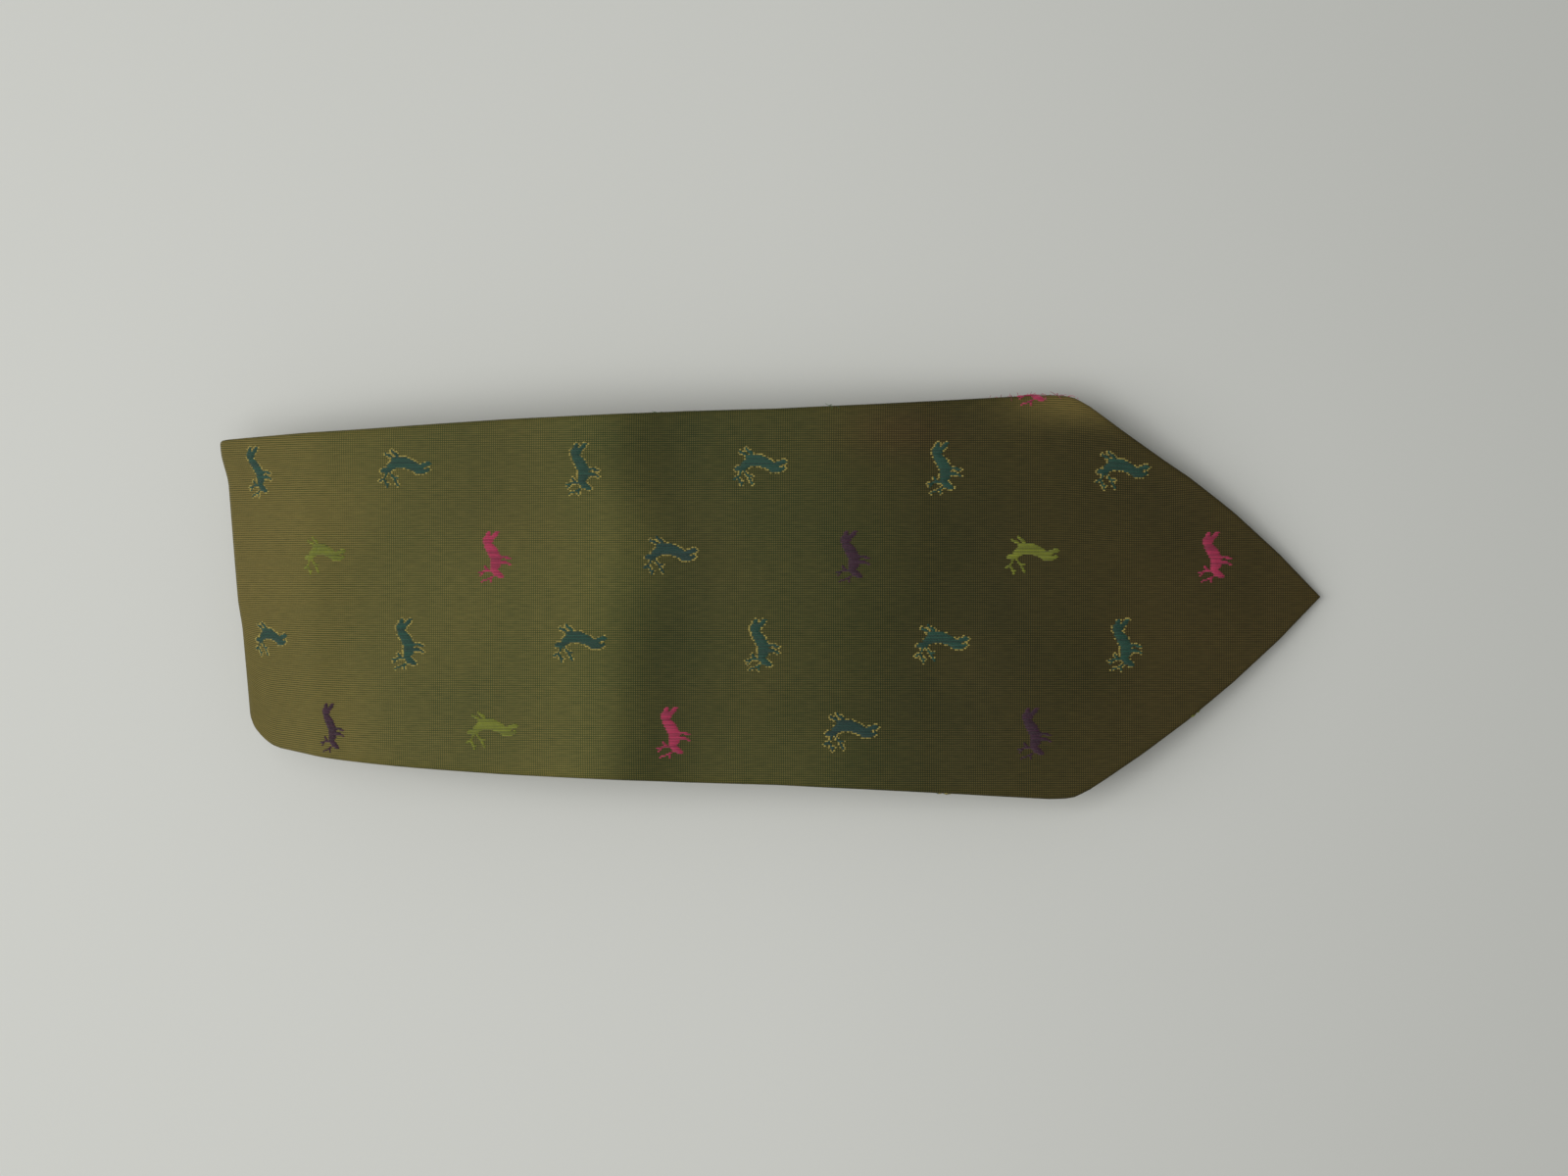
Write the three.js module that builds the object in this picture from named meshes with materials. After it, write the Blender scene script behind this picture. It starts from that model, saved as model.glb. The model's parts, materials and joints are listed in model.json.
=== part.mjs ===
// A gentleman's necktie of brocaded cloth, folded like a fan in ten leaves for the drawer, with the
// wide blade on top. The tie is a flat tube of shell cloth, slit down its back and sewn up there, round
// a wool interlining. Each leaf, and each turn between two leaves, is a rigid stretch of the tie, and
// the hinge lines between them let the whole tie open out to its full length.
//
// Millimetres, +X towards the blade's point, +Z up, standing on Z = 0, centred on X = 0 and Y = 0.
import * as THREE from "three";

// ---- Driving dimensions ----------------------------------------------------------------------------

const THICKNESS = 1.9; // of the made-up tie: shell, interlining and shell
const SHELL = 0.35; // thickness of the shell cloth
const EASE = 0.15; // room between the shell and the interlining
const LEAF_GAP = 0.3; // between two leaves that lie on each other
const TAIL_LEAF_GAP = 0.9; // above the lowest leaf, for the bar tack and the thread's loop
const TOP_LEAF_GAP = 2.5; // below the top leaf, for the keeper loop and the labels
const HINGE_GAP = 0.3; // between two rigid stretches, at a hinge line

const BLADE_POINT = 54; // from the wide end's point to its shoulders
const BLADE_WIDTH = 88; // across those shoulders
const BLADE_BOW = 3; // the point's two edges bulge so far at their middle
const BLADE_TAPER = [[106, 8.4], [85, 9.6], [185, 15], [170, 15], [120, 8]]; // [length, so much narrower]
const TAIL_POINT = 28;
const TAIL_WIDTH = 48;
const TAIL_BOW = 1;
const TAIL_TAPER = [[142, 6], [150, 5], [150, 4]];
const BLUNT = 2; // half the width of the cloth at a point's very tip

// Where the folds lie. The leaves run between them, so a longer pack is a longer tie.
const PACK_LENGTH = 243; // from the zero of the left folds to the blade's point
const LEFT_FOLDS = [10, 14, 20, 30]; // folds 9, 7, 5 and 3, from the table up
const RIGHT_FOLDS_BEHIND_POINT = [79, 85, 93, 151]; // folds 8, 6, 4 and 2
const TAIL_BEHIND_POINT = 71; // from the blade's point to the tail's
const TOP_SLOPE_FROM = 24.4; // the two top leaves slope down to the topmost fold from here
const TOP_FOLD_SLOPE = 20; // degrees that they slope
const TOP_FOLD_RUN = 17; // length of that slope
const SOFT_RADIUS = 14; // of the soft bends where a leaf sags over the ones below
const FIRST_SAG_BEHIND_POINT = 153; // the blade starts to come down here, over fold 2
const SECOND_SAG_BEHIND_POINT = 88; // and goes down more steeply from here, past fold 4
const SAG_CLEARANCE = 1.2; // between the blade and fold 4 there
const TIP_CLEARANCE = 0.35; // between the blade's tip and the table

const BLADE_TACK = 143; // from the blade's point to the bar tack that ends its back seam
const BLADE_HEM = 14; // width of the shell turned in at the blade's shoulders
const TAIL_TACK = 62;
const TAIL_HEM = 9;
const BACK_SLIT = 0.25; // half the gap between the two edges of the shell at the back seam
const PANEL_GAP = 0.3; // round the tipping

const KEEPER = { from: 203, width: 12, reach: 24, foot: 4, strap: 0.5, rise: 0.7, off: 0.1 };
const MAKER_LABEL = { from: 166, width: 22, reach: 20, thick: 0.3, off: 0.1 };
const CARE_LABEL = { from: 193, width: 7, start: 3, end: 21, thick: 0.3, off: 0.1 };
const BAR_TACK = { width: 1.4, reach: 3, thick: 0.4, off: 0.05 };
const THREAD_LOOP = { from: 68, length: 16, width: 7, thread: 0.45, off: 0.1 };

const BLADE_SEAM = 44; // along leaf 5, from fold 5 to the slanting seam that joins neck and blade
const NECK_SEAM = 53; // along leaf 7, from fold 7 to the one that joins tail and neck
const SEAM_SLANT = 1; // a seam runs this far along the tie for each millimetre across it
const ARC_STEP = THREE.MathUtils.degToRad(22.5);

const COLOURS = { shell: 0x4f4a26, lining: 0xd8d2bf, tipping: 0x3d4a2c, label: 0xb9b3a0, thread: 0x2f3a1e };

// ---- The line of the folded tie, seen from the side ------------------------------------------------

// A line in the X-Z plane of straight runs and arcs. It is measured along the cloth, where an arc counts
// at the length of its outside, which is what the cloth has when it is opened out flat.
class FoldedLine {
  constructor(x, z, heading) {
    this.end = { x, z, heading };
    this.length = 0;
    this.runs = [];
  }

  straight(length) {
    const start = this.end;
    this.runs.push({ start, from: this.length, to: this.length + length, radius: Infinity, angle: 0 });
    const x = start.x + length * Math.cos(start.heading);
    const z = start.z + length * Math.sin(start.heading);
    this.end = { x, z, heading: start.heading };
    this.length += length;
    return this;
  }

  straightToX(x) {
    return this.straight((x - this.end.x) / Math.cos(this.end.heading));
  }

  // A positive angle turns left, from +X towards +Z.
  turn(radius, angle) {
    const { x, z, heading } = this.end;
    const side = Math.sign(angle);
    const centre = { x: x - side * radius * Math.sin(heading), z: z + side * radius * Math.cos(heading) };
    const outside = (radius + THICKNESS / 2) * Math.abs(angle);
    const to = this.length + outside;
    this.runs.push({ start: this.end, from: this.length, to, radius, angle, centre });
    const headed = heading + angle;
    this.end = {
      x: centre.x + side * radius * Math.sin(headed),
      z: centre.z - side * radius * Math.cos(headed),
      heading: headed,
    };
    this.length = to;
    return this;
  }

  runAt(u) {
    return this.runs.find((run) => u <= run.to) ?? this.runs.at(-1);
  }

  // The point of the cloth at u along the tie, v across it and h out of its face.
  point(u, v, h) {
    const run = this.runAt(u);
    const share = (u - run.from) / (run.to - run.from);
    const heading = run.start.heading + run.angle * share;
    let { x, z } = run.start;
    if (run.angle) {
      const side = Math.sign(run.angle);
      x = run.centre.x + side * run.radius * Math.sin(heading);
      z = run.centre.z - side * run.radius * Math.cos(heading);
    } else {
      x += (u - run.from) * Math.cos(heading);
      z += (u - run.from) * Math.sin(heading);
    }
    return new THREE.Vector3(x - h * Math.sin(heading), v, z + h * Math.cos(heading));
  }
}

const radians = THREE.MathUtils.degToRad;
const behindPoint = (distance) => PACK_LENGTH - distance;
const leafRadius = (THICKNESS + LEAF_GAP) / 2;
const tailRadius = (THICKNESS + TAIL_LEAF_GAP) / 2;
const topRadius = (THICKNESS + TOP_LEAF_GAP) / 2;
const slope = radians(TOP_FOLD_SLOPE);

function foldedLine() {
  const line = new FoldedLine(behindPoint(TAIL_BEHIND_POINT), THICKNESS / 2, Math.PI);
  LEFT_FOLDS.forEach((leftX, i) => {
    line.straightToX(leftX).turn(i ? leafRadius : tailRadius, -Math.PI);
    line.straightToX(behindPoint(RIGHT_FOLDS_BEHIND_POINT[i])).turn(leafRadius, Math.PI);
  });
  // The two top leaves slope down to their fold, over the ends of the leaves below.
  line.straightToX(TOP_SLOPE_FROM).turn(SOFT_RADIUS, slope).straight(TOP_FOLD_RUN);
  line.turn(topRadius, -Math.PI).straight(TOP_FOLD_RUN).turn(SOFT_RADIUS + 2 * topRadius, -slope);
  // The blade comes down to the table in two steps.
  const fold4Top = tailRadius * 2 + leafRadius * 10 + THICKNESS;
  const secondZ = fold4Top + SAG_CLEARANCE + THICKNESS / 2;
  const sagRun = FIRST_SAG_BEHIND_POINT - SECOND_SAG_BEHIND_POINT;
  const first = Math.atan2(line.end.z - secondZ, sagRun);
  line.straightToX(behindPoint(FIRST_SAG_BEHIND_POINT)).turn(SOFT_RADIUS, -first);
  line.straightToX(behindPoint(SECOND_SAG_BEHIND_POINT));
  const pointZ = TIP_CLEARANCE + THICKNESS / 2;
  const second = Math.atan2(line.end.z - pointZ, SECOND_SAG_BEHIND_POINT) - first;
  return line.turn(SOFT_RADIUS, -second).straightToX(PACK_LENGTH);
}

const line = foldedLine();

// ---- Widths along the tie --------------------------------------------------------------------------

// [distance from the end, half the width] at each corner of one end's outline.
function endOutline(point, width, bow, taper) {
  const corners = [[0, 0], [point / 2, width / 4 + bow], [point, width / 2]];
  for (const [length, narrower] of taper) {
    const [at, half] = corners.at(-1);
    corners.push([at + length, half - narrower / 2]);
  }
  return corners;
}

function along(corners, at) {
  const i = corners.findIndex(([a]) => a > at);
  if (i < 1) return corners.at(i < 0 ? -1 : 0)[1];
  const [[a, first], [b, second]] = [corners[i - 1], corners[i]];
  return THREE.MathUtils.lerp(first, second, (at - a) / (b - a));
}

// How far from the point an end's outline is so wide to each side.
function whereHalfIs(corners, half) {
  const [at, first] = corners[1];
  return (at * half) / first;
}

const bladeOutline = endOutline(BLADE_POINT, BLADE_WIDTH, BLADE_BOW, BLADE_TAPER);
const tailOutline = endOutline(TAIL_POINT, TAIL_WIDTH, TAIL_BOW, TAIL_TAPER);
const bladeSplit = line.length / 2; // either outline holds here, in the plain neck
const halfWidth = (u) => (u < bladeSplit ? along(tailOutline, u) : along(bladeOutline, line.length - u));

// Half the opening between the turned-in edges of the shell: shut along the back seam, and spread into
// a V at each end, where the tipping shows.
function vOpening(corners, point, hem, tack, at) {
  const room = along(corners, at) - hem;
  if (at > tack) return BACK_SLIT;
  if (at < point) return Math.max(BACK_SLIT, room);
  const shoulder = along(corners, point) - hem;
  return THREE.MathUtils.lerp(shoulder, BACK_SLIT, (at - point) / (tack - point));
}

const halfOpening = (u) =>
  u < bladeSplit
    ? vOpening(tailOutline, TAIL_POINT, TAIL_HEM, TAIL_TACK, u)
    : vOpening(bladeOutline, BLADE_POINT, BLADE_HEM, BLADE_TACK, line.length - u);

const corners = [
  ...line.runs.map((run) => run.to),
  ...line.runs.flatMap(arcSteps),
  ...tailOutline.map(([at]) => at),
  ...bladeOutline.map(([at]) => line.length - at),
  whereHalfIs(tailOutline, TAIL_HEM + BACK_SLIT),
  TAIL_TACK,
  line.length - whereHalfIs(bladeOutline, BLADE_HEM + BACK_SLIT),
  line.length - BLADE_TACK,
].sort((a, b) => a - b);

function arcSteps(run) {
  const steps = Math.ceil(Math.abs(run.angle) / ARC_STEP);
  const between = Array.from({ length: Math.max(0, steps - 1) }, (_, i) => (i + 1) / steps);
  return between.map((share) => THREE.MathUtils.lerp(run.from, run.to, share));
}

// ---- Solids ----------------------------------------------------------------------------------------

// A closed solid through rings of points that correspond. The section gives the rings' shape for the
// two end caps, and runs anticlockwise as seen from the last ring.
function loft(rings, section) {
  const n = section.length;
  const caps = THREE.ShapeUtils.triangulateShape(section, []);
  const last = (rings.length - 1) * n;
  const index = [];
  for (const [a, b, c] of caps) index.push(c, b, a, last + a, last + b, last + c);
  for (let i = 0; i < last; i += n) {
    for (let j = 0; j < n; j++) {
      const k = (j + 1) % n;
      index.push(i + j, i + k, i + n + k, i + j, i + n + k, i + n + j);
    }
  }
  return new THREE.BufferGeometry().setFromPoints(rings.flat()).setIndex(index);
}

// A stretch of the tie from one place to another, of a section that may change along it. The two ends
// may slant across the tie.
function stretch(from, to, sectionAt, slantFrom = 0, slantTo = 0) {
  const clear = 0.05;
  const stations = [from, ...corners.filter((u) => u > from + clear && u < to - clear), to];
  const kept = stations.filter((u) => !slanting(u, from, slantFrom) && !slanting(u, to, slantTo));
  const rings = kept.map((u) => {
    const slant = u === from ? slantFrom : u === to ? slantTo : 0;
    return sectionAt(u).map(({ x: v, y: h }) => slantedPoint(u, slant, v, h));
  });
  return loft(rings, sectionAt(from));
}

// A slanting end meets the sides of the tie where the tie has another width.
function slantedPoint(u, slant, v, h) {
  const at = u + slant * v;
  return line.point(at, (v * halfWidth(at)) / halfWidth(u), h);
}

// Whether a station lies so near a slanting end that the end would cross it.
const slanting = (u, end, slant) => slant && u !== end && Math.abs(u - end) < halfWidth(end) * slant + 1;

const outline = (points) => points.map(([v, h]) => new THREE.Vector2(v, h));
const block = (half, low, high) => outline([[-half, low], [half, low], [half, high], [-half, high]]);

// The shell's section is a flat tube, open at the back between its two turned-in edges.
function shellSection(u) {
  const half = Math.max(BLUNT, halfWidth(u));
  const slit = Math.min(halfOpening(u), half - 2 * SHELL - EASE);
  const face = THICKNESS / 2;
  const inner = half - SHELL;
  return outline([
    [slit, -face], [half, -face], [half, face], [-half, face], [-half, -face], [-slit, -face],
    [-slit, SHELL - face], [-inner, SHELL - face], [-inner, face - SHELL],
    [inner, face - SHELL], [inner, SHELL - face], [slit, SHELL - face],
  ]);
}

const interliningHalf = (u) => Math.max(BLUNT, halfWidth(u)) - SHELL - EASE;
const interliningFace = THICKNESS / 2 - SHELL - EASE;
const interliningSection = (u) => block(interliningHalf(u), -interliningFace, interliningFace);
const tippingSection = (u) => block(halfOpening(u) - PANEL_GAP, -THICKNESS / 2, SHELL - THICKNESS / 2);

// A flat piece sewn on the back: its section lies below the back by off.
const onBack = (half, thick, off) => () => block(half, -THICKNESS / 2 - off - thick, -THICKNESS / 2 - off);

// ---- The rigid stretches and the hinge lines between them --------------------------------------------

const pivotShare = (angle) => angle / 2 / Math.sin(angle / 2);

// The hinge line of a part of an arc, from one share of it to another. It stands on the outside of the
// bend, so that the bend opens flat at the length of its outside and nothing is squeezed.
function hinge(run, low, high) {
  const angle = run.angle * (high - low);
  const middle = run.start.heading + (run.angle * (low + high)) / 2;
  const reach = (run.radius + THICKNESS / 2) * pivotShare(Math.abs(angle)) * Math.sign(angle);
  return {
    at: run.from + ((run.to - run.from) * (low + high)) / 2,
    x: run.centre.x + reach * Math.sin(middle),
    z: run.centre.z - reach * Math.cos(middle),
    angle,
  };
}

const isFold = (run) => Math.abs(run.angle) > 3;
const bends = line.runs.filter((run) => run.angle);
const hinges = bends.flatMap((run) =>
  isFold(run) ? [hinge(run, 0, 0.5), hinge(run, 0.5, 1)] : [hinge(run, 0, 1)],
);

const STRETCHES = [
  ...[10, 9, 8, 7, 6, 5, 4, 3].flatMap((n) => [`leaf_${n}`, `turn_${n - 1}`]),
  "leaf_2", "leaf_2_slope", "turn_1", "leaf_1_slope", "leaf_1", "blade_middle", "blade_end",
];

// The cloth starts and ends where its points are BLUNT wide.
const clothStart = whereHalfIs(tailOutline, BLUNT);
const clothEnd = line.length - whereHalfIs(bladeOutline, BLUNT);

const stretches = STRETCHES.map((name, i) => ({
  name,
  from: i ? hinges[i - 1].at + HINGE_GAP / 2 : clothStart,
  to: i < hinges.length ? hinges[i].at - HINGE_GAP / 2 : clothEnd,
}));

function stretchNamed(name) {
  return stretches.find((own) => own.name === name);
}

// ---- Pieces ----------------------------------------------------------------------------------------

const tie = new THREE.Group();
const bodies = Object.fromEntries(STRETCHES.map((name) => [name, []]));
const cloth = (color) => new THREE.MeshStandardMaterial({ color, roughness: 0.8, metalness: 0 });
const materials = Object.fromEntries(Object.entries(COLOURS).map(([name, color]) => [name, cloth(color)]));

function add(body, name, material, geometry) {
  const mesh = new THREE.Mesh(geometry, materials[material]);
  mesh.name = name;
  tie.add(mesh);
  bodies[body].push(name);
}

const bladeSeam = stretchNamed("leaf_5").from + BLADE_SEAM;
const neckSeam = stretchNamed("leaf_7").from + NECK_SEAM;
const clothAt = (u) => (u > bladeSeam ? "blade" : u > neckSeam ? "neck" : "tail");

function addShell({ name, from, to }) {
  const seam = [bladeSeam, neckSeam].find((u) => u > from && u < to);
  if (!seam) {
    add(name, `${clothAt(from)}_shell_${name}`, "shell", stretch(from, to, shellSection));
    return;
  }
  const half = HINGE_GAP / 2;
  const lower = stretch(from, seam - half, shellSection, 0, SEAM_SLANT);
  const upper = stretch(seam + half, to, shellSection, SEAM_SLANT, 0);
  add(name, `${clothAt(from)}_shell_${name}`, "shell", lower);
  add(name, `${clothAt(to)}_shell_${name}`, "shell", upper);
}

function addInterlining({ name, from, to }) {
  add(name, `interlining_${name}`, "lining", stretch(from + HINGE_GAP, to - HINGE_GAP, interliningSection));
}

// The part of a panel that lies in one stretch.
function addPanel(name, body, from, to) {
  const own = stretchNamed(body);
  add(body, name, "tipping", stretch(Math.max(from, own.from), Math.min(to, own.to), tippingSection));
}

// The keeper loop is a strap across the back that stands clear between its two sewn feet.
function keeperSection() {
  const { reach, foot, strap, rise, off } = KEEPER;
  const top = -THICKNESS / 2 - off;
  const low = top - rise;
  const bend = foot + rise + strap;
  const under = [[reach, top - strap], [reach - foot, top - strap], [reach - bend, low - strap]];
  const over = [[reach, top], [reach - foot, top], [reach - bend, low]];
  const mirrored = (side) => side.map(([v, h]) => [-v, h]);
  return outline([...mirrored(under), ...under.toReversed(), ...over, ...mirrored(over).toReversed()]);
}

// The end of the sewing thread, left as a slack loop on the tail's back so that the seam can give.
function threadLoop() {
  const { from, length, width, thread, off } = THREAD_LOOP;
  const h = -THICKNESS / 2 - off - thread / 2;
  const route = [[0, 0], [0.25, 0.5], [0.6, 0.95], [0.9, 0.8], [1, 0.45], [0.85, 0.15], [0.6, 0.08]];
  const points = route.map(([a, b]) => line.point(from + a * length, b * width, h));
  const round = new THREE.Shape().absarc(0, 0, thread / 2, 0, 2 * Math.PI);
  const extrudePath = new THREE.CatmullRomCurve3(points);
  const smoothness = { steps: 16, curveSegments: 6, bevelEnabled: false };
  return new THREE.ExtrudeGeometry(round, { extrudePath, ...smoothness });
}

stretches.forEach(addShell);
stretches.forEach(addInterlining);

const tailOpening = whereHalfIs(tailOutline, TAIL_HEM + PANEL_GAP + 1);
const bladeOpening = whereHalfIs(bladeOutline, BLADE_HEM + PANEL_GAP + 1);
const seamMargin = 6; // the tipping stops this far short of the bar tack, where the V closes
addPanel("tail_tipping", "leaf_10", tailOpening, TAIL_TACK - seamMargin);
addPanel("blade_tipping_root", "blade_middle", line.length - BLADE_TACK + seamMargin, line.length);
addPanel("blade_tipping_point", "blade_end", 0, line.length - bladeOpening);

const fromBlade = (at, width) => [line.length - at - width, line.length - at];
add("leaf_1", "keeper_loop", "shell", stretch(...fromBlade(KEEPER.from, KEEPER.width), keeperSection));

const maker = onBack(MAKER_LABEL.reach, MAKER_LABEL.thick, MAKER_LABEL.off);
add("leaf_1", "maker_label", "label", stretch(...fromBlade(MAKER_LABEL.from, MAKER_LABEL.width), maker));

const careHalf = (CARE_LABEL.end - CARE_LABEL.start) / 2;
const careShift = new THREE.Vector2(CARE_LABEL.start + careHalf, 0);
const careSection = () =>
  onBack(careHalf, CARE_LABEL.thick, CARE_LABEL.off)().map((point) => point.add(careShift));
add("leaf_1", "care_label", "label", stretch(...fromBlade(CARE_LABEL.from, CARE_LABEL.width), careSection));

const tack = onBack(BAR_TACK.reach, BAR_TACK.thick, BAR_TACK.off);
add("blade_middle", "blade_bar_tack", "thread", stretch(...fromBlade(BLADE_TACK, BAR_TACK.width), tack));
add("leaf_10", "tail_bar_tack", "thread", stretch(TAIL_TACK, TAIL_TACK + BAR_TACK.width, tack));
add("leaf_10", "slip_thread_loop", "thread", threadLoop());

// ---- Placing -----------------------------------------------------------------------------------------

const box = new THREE.Box3().setFromObject(tie);
tie.position.x = -(box.min.x + box.max.x) / 2;
tie.updateMatrixWorld(true);

// The motion that goes with the model: which pieces each stretch carries, and each hinge line's place in
// the placed model, in millimetres, with the angle that it turns to lie flat, in degrees about +Y.
tie.userData = {
  bodies,
  length: line.length,
  hinges: hinges.map(({ x, z, angle }, i) => ({
    below: STRETCHES[i],
    above: STRETCHES[i + 1],
    x: x + tie.position.x,
    z,
    degrees: THREE.MathUtils.radToDeg(angle),
  })),
};

export default tie;
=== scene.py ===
import json
from math import atan2, cos, pi, radians, sin

import bpy
import numpy as np
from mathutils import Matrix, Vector

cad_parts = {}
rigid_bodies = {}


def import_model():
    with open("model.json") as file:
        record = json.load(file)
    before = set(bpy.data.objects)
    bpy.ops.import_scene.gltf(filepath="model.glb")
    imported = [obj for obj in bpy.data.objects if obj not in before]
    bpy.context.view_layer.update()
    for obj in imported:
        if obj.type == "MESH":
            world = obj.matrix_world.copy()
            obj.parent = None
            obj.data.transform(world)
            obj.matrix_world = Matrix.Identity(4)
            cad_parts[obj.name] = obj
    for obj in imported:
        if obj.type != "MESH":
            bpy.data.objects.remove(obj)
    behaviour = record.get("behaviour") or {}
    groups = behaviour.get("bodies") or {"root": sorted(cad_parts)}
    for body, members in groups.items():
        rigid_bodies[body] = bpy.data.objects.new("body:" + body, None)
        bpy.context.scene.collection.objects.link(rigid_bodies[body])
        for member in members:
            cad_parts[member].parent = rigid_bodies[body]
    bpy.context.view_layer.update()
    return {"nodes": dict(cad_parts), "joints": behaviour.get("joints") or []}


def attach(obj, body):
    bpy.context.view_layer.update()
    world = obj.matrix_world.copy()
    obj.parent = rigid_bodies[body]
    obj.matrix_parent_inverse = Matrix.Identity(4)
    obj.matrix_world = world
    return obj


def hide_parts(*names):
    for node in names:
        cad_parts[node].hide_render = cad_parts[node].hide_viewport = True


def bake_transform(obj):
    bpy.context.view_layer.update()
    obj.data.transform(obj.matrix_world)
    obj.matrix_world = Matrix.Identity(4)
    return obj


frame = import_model()

MM = 0.001  # sizes below are in millimetres

# ---- The folded tie, as it was cut and folded ----

THICKNESS = 1.9
HALF_THICK = THICKNESS / 2
LEAF_GAP, TAIL_GAP, TOP_GAP = 0.3, 0.9, 2.5
PACK_LENGTH = 243
LEFT_FOLDS = (10, 14, 20, 30)
RIGHT_FOLDS = (79, 85, 93, 151)
TAIL_BEHIND_POINT = 71
TOP_SLOPE_FROM, TOP_SLOPE, TOP_RUN, SOFT_RADIUS = 24.4, radians(20), 17, 14
FIRST_SAG, SECOND_SAG = 153, 88
SAG_CLEARANCE, TIP_CLEARANCE = 1.2, 0.35
BLADE_SEAM, NECK_SEAM, SEAM_FADE = 44, 53, 40


class FoldedLine:
    """The tie's side view: straight runs and arcs, measured along their outside."""

    def __init__(self, x, z, heading):
        self.end, self.length, self.runs = (x, z, heading), 0.0, []

    def straight(self, length):
        x, z, a = self.end
        self.runs.append((self.length, self.length + length, x, z, a, 0.0, 0.0))
        self.end = (x + length * cos(a), z + length * sin(a), a)
        self.length += length
        return self

    def to_x(self, x):
        return self.straight((x - self.end[0]) / cos(self.end[2]))

    def turn(self, radius, angle):
        x, z, a = self.end
        side = 1 if angle > 0 else -1
        cx, cz = x - side * radius * sin(a), z + side * radius * cos(a)
        outside = (radius + HALF_THICK) * abs(angle)
        self.runs.append((self.length, self.length + outside, cx, cz, a, angle, radius))
        b = a + angle
        self.end = (cx + side * radius * sin(b), cz - side * radius * cos(b), b)
        self.length += outside
        return self

    def at(self, u):
        """x, z and heading of the middle of the cloth."""
        table = np.array(self.runs)
        i = np.clip(np.searchsorted(table[:, 1], u), 0, len(table) - 1)
        start, stop, x0, z0, a, angle, radius = table[i].T.reshape(7, *np.shape(u))
        heading = a + angle * (u - start) / (stop - start)
        side = np.sign(angle)
        bent = angle != 0
        x = np.where(bent, x0 + side * radius * np.sin(heading), x0 + (u - start) * np.cos(heading))
        z = np.where(bent, z0 - side * radius * np.cos(heading), z0 + (u - start) * np.sin(heading))
        return x, z, heading


def folded_line():
    leaf, tail, top = ((THICKNESS + gap) / 2 for gap in (LEAF_GAP, TAIL_GAP, TOP_GAP))
    line = FoldedLine(PACK_LENGTH - TAIL_BEHIND_POINT, HALF_THICK, pi)
    for i, left in enumerate(LEFT_FOLDS):
        line.to_x(left).turn(leaf if i else tail, -pi)
        line.to_x(PACK_LENGTH - RIGHT_FOLDS[i]).turn(leaf, pi)
    line.to_x(TOP_SLOPE_FROM).turn(SOFT_RADIUS, TOP_SLOPE).straight(TOP_RUN)
    line.turn(top, -pi).straight(TOP_RUN).turn(SOFT_RADIUS + 2 * top, -TOP_SLOPE)
    second_z = tail * 2 + leaf * 10 + THICKNESS + SAG_CLEARANCE + HALF_THICK
    first = atan2(line.end[1] - second_z, FIRST_SAG - SECOND_SAG)
    line.to_x(PACK_LENGTH - FIRST_SAG).turn(SOFT_RADIUS, -first).to_x(PACK_LENGTH - SECOND_SAG)
    second = atan2(line.end[1] - TIP_CLEARANCE - HALF_THICK, SECOND_SAG) - first
    return line.turn(SOFT_RADIUS, -second).to_x(PACK_LENGTH)


LINE = folded_line()
LENGTH = LINE.length
everywhere = np.linspace(2.3, LENGTH - 2.4, 4000)
middle_x, _, headings = LINE.at(everywhere)
faces_x = [middle_x + side * HALF_THICK * np.sin(headings) for side in (1, -1)]
OFFSET_X = -(np.min(faces_x) + np.max(faces_x)) / 2

# ---- Widths ----

# How far from an end, and half the tie's width there.
BLADE_HALF = [(1, 0), (10, 9.3), (20, 18.5), (30, 26.8), (40, 34.2), (48, 39.6), (52, 42.2), (55.5, 43.8),
              (60, 44), (80, 42.9), (100, 41.9), (120, 41.0), (140, 40.6), (160, 39.8), (180, 39),
              (200, 37.9), (215, 37), (230, 36.2), (245, 35.4), (300, 33), (430, 27.5), (600, 20), (728, 16)]
TAIL_HALF = [(1, 0), (14, 13.2), (26, 22.8), (30, 24), (170, 21), (320, 18.5), (470, 16.5), (728, 16)]
BLADE_POINT, BLADE_TACK, BLADE_HEM = 54, 143, 14
TAIL_POINT, TAIL_TACK, TAIL_HEM = 28, 62, 9
BACK_SLIT = 0.15


def half_width(u):
    u = np.asarray(u, float)
    tail = np.interp(u, *zip(*TAIL_HALF))
    return np.where(u < LENGTH / 2, tail, np.interp(LENGTH - u, *zip(*BLADE_HALF)))


def opening_from(at, half, point, tack, hem, shoulder):
    near = np.clip(half - hem, BACK_SLIT, None)
    vee = np.interp(at, (point, tack), (shoulder - hem, BACK_SLIT))
    return np.where(at > tack, BACK_SLIT, np.where(at < point, near, vee))


def half_opening(u):
    """Half the gap between the turned-in edges on the back: a V at each end, shut between."""
    half = half_width(u)
    tail = opening_from(u, half, TAIL_POINT, TAIL_TACK, TAIL_HEM, 23.5)
    blade = opening_from(LENGTH - u, half, BLADE_POINT, BLADE_TACK, BLADE_HEM, 43.4)
    return np.where(u < LENGTH / 2, tail, blade)


# ---- How the cloth lies ----

TOP_FOLD = next(r for r in LINE.runs if r[6] == (THICKNESS + TOP_GAP) / 2)
TOP_FOLD_U = (TOP_FOLD[0] + TOP_FOLD[1]) / 2
TOP_SKEW = -0.088  # the top fold runs a little askew across the tie
CORNER_ROUND = 10.5
TOP_SHIFT = 1.2  # the crease lies so far in, but for its +Y end, which stands out like an ear
LOW_SHIFT = 0.5  # and so much further in on its -Y half
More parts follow.
